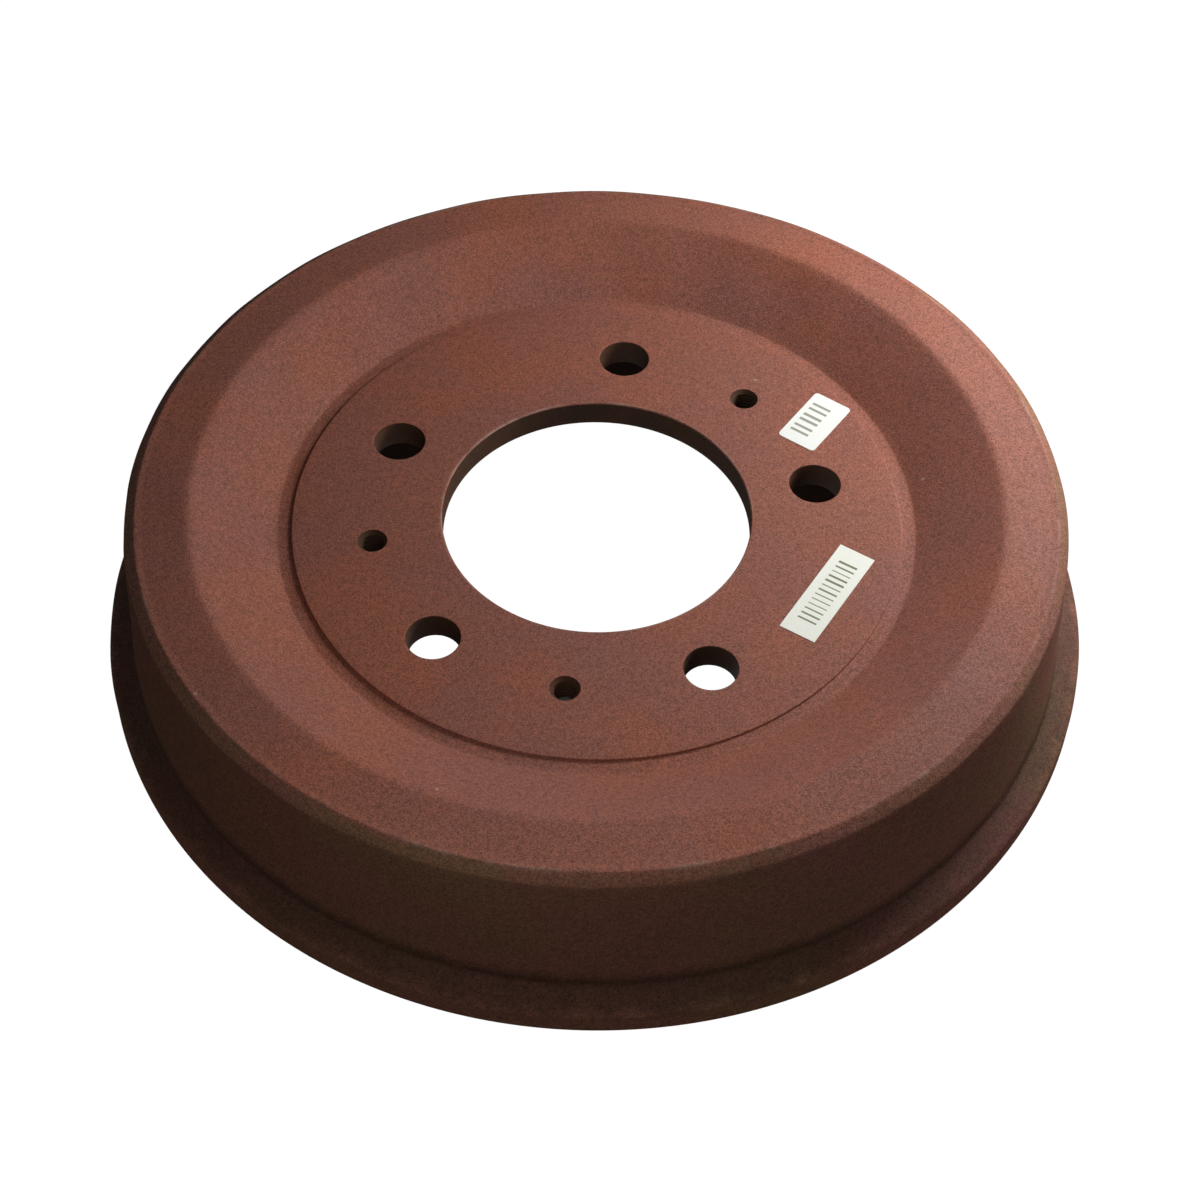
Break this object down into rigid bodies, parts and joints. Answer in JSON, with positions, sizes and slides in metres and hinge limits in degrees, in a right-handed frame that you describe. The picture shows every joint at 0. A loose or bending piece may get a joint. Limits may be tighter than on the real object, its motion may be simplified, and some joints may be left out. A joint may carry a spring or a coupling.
{
  "type": "brake drum",
  "caption": "Cast-iron brake drum with a dished, drilled wheel face, a pilot bore, a drafted wall and a stiffening flange round its open rim, in red-oxide primer.",
  "frame": {"origin": "centre of the open rim's face, which the drum stands on", "axes": "+Z along the axle towards the wheel, +X through the first stud hole"},
  "size_m": [0.311, 0.311, 0.0576],
  "materials": {
    "primed_casting": "matt red-oxide primer over an as-cast skin; the inner friction surface is bare turned iron",
    "white_label": "smooth white paper with rounded corners",
    "ivory_label": "smooth ivory paper with square corners"
  },
  "bodies": {
    "root": {"drum_casting": "primed_casting", "small_label": "white_label", "long_label": "ivory_label"}
  },
  "joints": []
}
